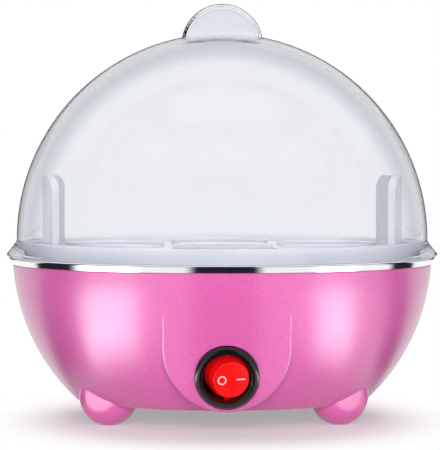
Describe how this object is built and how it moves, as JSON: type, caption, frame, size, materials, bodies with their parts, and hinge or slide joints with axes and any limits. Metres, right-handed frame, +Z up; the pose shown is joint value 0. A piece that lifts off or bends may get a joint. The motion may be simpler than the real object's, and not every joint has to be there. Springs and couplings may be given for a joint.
{
  "type": "egg cooker",
  "caption": "Round steam egg cooker: clear lift-off dome with fin grip over an egg tray, steel water dish with a bright rim, and a pink bowl base on round feet with a lit rocker switch.",
  "frame": {"origin": "on the table, under the middle of the bowl", "axes": "+Z up along the bowl's axis; the switch faces -Y and the cord gland +Y; +X is to the viewer's right when facing the switch"},
  "size_m": [0.165, 0.165, 0.1585],
  "materials": {
    "clear_plastic": "clear, glossy",
    "tray_plastic": "translucent, satin",
    "polished_steel": "polished stainless",
    "pink_plastic": "pearl gloss",
    "pink_cover": "satin",
    "black_plastic": "gloss",
    "red_plastic": "translucent, lit",
    "white_print": "satin",
    "silicone": "matt",
    "zinc_steel": "zinc plated",
    "spreader_aluminium": "turned",
    "sheath_steel": "heat tinted",
    "ceramic": "unglazed",
    "brass": "bright",
    "copper_alloy": "bright",
    "phenolic": "satin",
    "lamp_glass": "clear",
    "spring_steel": "bright",
    "fibreglass": "woven sleeve",
    "block_plastic": "satin",
    "gland_plastic": "satin",
    "wire_brown": "matt",
    "wire_blue": "matt",
    "wire_white": "matt"
  },
  "bodies": {
    "base": {"heating_dish": "polished_steel", "rim_seal": "silicone", "body_shell": "pink_plastic", "base_cover": "pink_cover", "cover_screws": "zinc_steel", "dish_studs": "zinc_steel", "stud_washers": "zinc_steel", "stud_nuts": "zinc_steel", "heat_spreader": "spreader_aluminium", "heater_element": "sheath_steel", "heater_seals": "ceramic", "heater_pins": "zinc_steel", "heater_retainer": "zinc_steel", "retainer_screws": "zinc_steel", "thermostat_cap": "spreader_aluminium", "thermostat_body": "phenolic", "thermostat_flange": "zinc_steel", "thermostat_screws": "zinc_steel", "thermostat_terminals": "brass", "switch_housing": "black_plastic", "switch_terminals": "brass", "cord_gland": "gland_plastic", "gland_nut": "gland_plastic", "terminal_block": "block_plastic", "block_screws": "brass", "wire_connectors": "block_plastic", "fuse_sleeve": "fibreglass", "thermal_fuse": "zinc_steel", "lead_line": "wire_brown", "lead_lamp": "wire_blue", "lead_switched": "wire_white", "lead_fuse": "wire_white", "lead_neutral": "wire_blue"},
    "tray": {"egg_tray": "tray_plastic"},
    "lid": {"lid": "clear_plastic"},
    "rocker": {"switch_rocker": "red_plastic", "rocker_legend": "white_print", "switch_plunger": "block_plastic", "plunger_spring": "spring_steel", "switch_lamp": "lamp_glass"},
    "contact_arm": {"contact_arm": "copper_alloy"}
  },
  "joints": [
    {"name": "tray_lift", "type": "slide", "parent": "base", "child": "tray", "axis": [0, 0, 1], "range_m": [0, 0.08]},
    {"name": "lid_lift", "type": "slide", "parent": "tray", "child": "lid", "axis": [0, 0, 1], "range_m": [0, 0.12]},
    {"name": "rocker_tip", "type": "hinge", "parent": "base", "child": "rocker", "pos_m": [0, -0.06954, 0.02189], "axis": [0, -0.1925, 0.9813], "range_deg": [-26, 0]},
    {"name": "arm_tip", "type": "hinge", "parent": "base", "child": "contact_arm", "pos_m": [0, -0.06218, 0.02333], "axis": [0, -0.1925, 0.9813], "range_deg": [0, 12]}
  ],
  "couplings": [
    {"joint": "arm_tip", "follows": "rocker_tip", "ratio": -0.4615}
  ]
}
